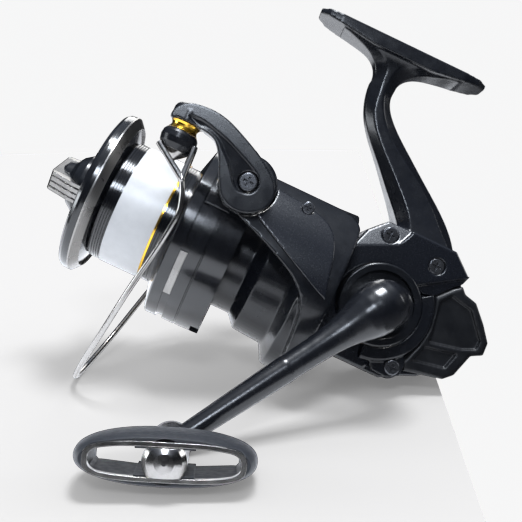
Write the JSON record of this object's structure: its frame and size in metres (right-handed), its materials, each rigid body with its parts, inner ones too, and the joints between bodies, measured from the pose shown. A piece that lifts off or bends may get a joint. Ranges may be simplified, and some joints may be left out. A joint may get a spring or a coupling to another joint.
{
  "type": "spinning reel",
  "caption": "Fixed spool spinning reel with foot and stem, crank handle with T knob, rotor with bail and line roller, oscillating spool with front drag knob.",
  "frame": {"origin": "centre of the foot's seat face", "axes": "+Z out of the foot's seat towards the rod, +X towards the tail, the spool's nose is -X, the handle is on -Y"},
  "size_m": [0.1725, 0.1384, 0.1775],
  "materials": {
    "body_black": "satin black with a cool sheen",
    "cover_gloss": "semi-gloss charcoal metallic",
    "arm_gloss": "semi-gloss black",
    "guard_plastic": "fine textured",
    "rotor_black": "satin black",
    "screw_black": "black oxide",
    "steel": "machined",
    "brass": "machined",
    "chrome": "polished",
    "gold": "polished gold coat",
    "spool_black": "anodised black gloss",
    "white_band": "smooth white",
    "grip_rubber": "soft matte",
    "washer": "carbon felt",
    "plastic_black": "moulded",
    "silver_bar": "satin silver"
  },
  "bodies": {
    "frame": {"body_frame": "body_black", "side_cover": "cover_gloss", "gear_housing_ring": "body_black", "handle_bearing_plate": "plastic_black", "body_bearings": "steel", "far_side_cap": "body_black", "rear_guard": "guard_plastic", "body_screws": "screw_black", "clutch_outer_ring": "steel", "clutch_rollers": "steel", "clutch_retainer": "plastic_black", "worm_bushes": "plastic_black", "guide_rod": "steel", "bail_trip_ramp": "grip_rubber"},
    "crank": {"drive_gear": "brass", "handle_arm": "arm_gloss", "knob_shaft": "steel", "knob_screw": "steel"},
    "handle_knob": {"knob_grip": "grip_rubber", "knob_hub": "plastic_black", "knob_frame": "chrome", "knob_bearings": "steel", "knob_cap": "chrome"},
    "rotor": {"rotor": "rotor_black", "rotor_arm_covers": "cover_gloss", "arm_cover_screws": "screw_black", "pinion_gear": "brass", "clutch_sleeve": "steel", "rotor_nut": "brass", "bail_spring": "steel", "bail_pivot_screws": "screw_black"},
    "trip_lever": {"trip_lever": "steel"},
    "bail": {"bail_arm": "arm_gloss", "bail_holder": "arm_gloss", "bail_wire": "chrome", "roller_cap": "plastic_black", "bail_cone": "chrome", "roller_pin": "steel"},
    "line_roller": {"line_roller": "gold"},
    "shaft_slide": {"main_shaft": "steel", "oscillation_slider": "brass", "slider_pawl": "brass", "spool_support": "plastic_black"},
    "worm": {"worm_shaft": "steel", "worm_gear": "brass"},
    "spool": {"spool_body": "spool_black", "spool_band": "white_band", "spool_gold_ring": "gold", "lip_ring": "silver_bar", "spool_front_ring": "spool_black", "skirt_inlays": "silver_bar", "line_clip": "plastic_black", "spool_bearings": "steel", "click_gear": "plastic_black", "drag_washers": "washer", "drag_retainer": "steel"},
    "drag_knob": {"drag_knob": "plastic_black", "drag_knob_bar": "silver_bar", "drag_nut": "brass", "drag_spring": "steel"}
  },
  "joints": [
    {"name": "handle_crank", "type": "hinge", "parent": "frame", "child": "crank", "pos_m": [0.0298, 0, -0.0955], "axis": [0, 1, 0], "continuous": true},
    {"name": "knob_spin", "type": "hinge", "parent": "crank", "child": "handle_knob", "pos_m": [-0.0178, -0.08, -0.165], "axis": [0, 1, 0], "continuous": true},
    {"name": "rotor_spin", "type": "hinge", "parent": "frame", "child": "rotor", "pos_m": [0, 0, -0.1005], "axis": [1, 0, 0], "continuous": true},
    {"name": "worm_spin", "type": "hinge", "parent": "frame", "child": "worm", "pos_m": [0.02, -0.00717, -0.10652], "axis": [1, 0, 0], "continuous": true},
    {"name": "bail_flip", "type": "hinge", "parent": "rotor", "child": "bail", "pos_m": [-0.0312, 0, -0.0784], "axis": [0, 1, 0], "range_deg": [0, 105]},
    {"name": "trip_lever_slide", "type": "slide", "parent": "rotor", "child": "trip_lever", "axis": [1, 0, 0], "range_m": [0, 0.0032]},
    {"name": "roller_spin", "type": "hinge", "parent": "bail", "child": "line_roller", "pos_m": [-0.0588, -0.0382, -0.0705], "axis": [0, 0, 1], "continuous": true},
    {"name": "spool_oscillation", "type": "slide", "parent": "frame", "child": "shaft_slide", "axis": [1, 0, 0], "range_m": [-0.022, 0.008]},
    {"name": "spool_drag_spin", "type": "hinge", "parent": "shaft_slide", "child": "spool", "pos_m": [-0.06, 0, -0.1005], "axis": [1, 0, 0], "continuous": true},
    {"name": "drag_knob_turn", "type": "hinge", "parent": "shaft_slide", "child": "drag_knob", "pos_m": [-0.09, 0, -0.1005], "axis": [1, 0, 0], "range_deg": [-720, 360]}
  ],
  "couplings": [
    {"joint": "rotor_spin", "follows": "handle_crank", "ratio": 4.4444},
    {"joint": "worm_spin", "follows": "handle_crank", "ratio": -2.3529},
    {"joint": "trip_lever_slide", "follows": "bail_flip", "m_per_rad": 0.0017}
  ]
}
